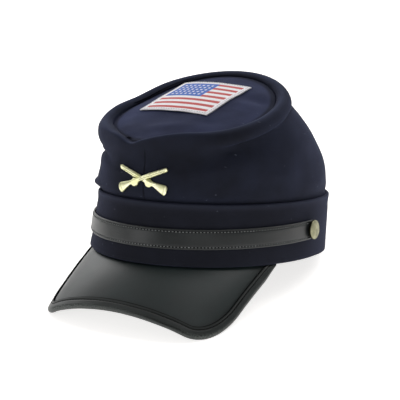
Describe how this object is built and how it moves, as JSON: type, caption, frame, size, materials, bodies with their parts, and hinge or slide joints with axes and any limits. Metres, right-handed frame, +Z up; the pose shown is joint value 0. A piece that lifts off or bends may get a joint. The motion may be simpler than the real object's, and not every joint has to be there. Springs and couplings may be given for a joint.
{
  "type": "kepi cap",
  "caption": "Soft cloth kepi with a sunken round top and rolled rim, an upright band, a leather peak and front strap, brass side buttons, a crossed rifles badge and a flag patch.",
  "frame": {"origin": "middle of the cap's bounding box, on the surface that it rests on", "axes": "+Z up, the peak points along -Y, the wearer's left side is +X"},
  "size_m": [0.1732, 0.2448, 0.14],
  "materials": {
    "band_cloth": "matt woven wool cloth",
    "crown_cloth": "matt woven wool cloth with soft folds",
    "top_cloth": "matt woven wool cloth",
    "peak_leather": "smooth black, satin",
    "binding_leather": "fine grained black, satin",
    "strap_leather": "smooth black with a stitched line along each edge",
    "button_brass": "aged pale brass, satin",
    "badge_brass": "polished pale brass",
    "patch_cloth": "printed and embroidered patch, blue, red and white"
  },
  "bodies": {
    "root": {"band": "band_cloth", "crown_side": "crown_cloth", "crown_top": "top_cloth", "peak": "peak_leather", "peak_binding": "binding_leather", "chin_strap": "strap_leather", "button_left": "button_brass", "button_right": "button_brass", "crossed_rifles": "badge_brass", "flag_patch": "patch_cloth"}
  },
  "joints": []
}
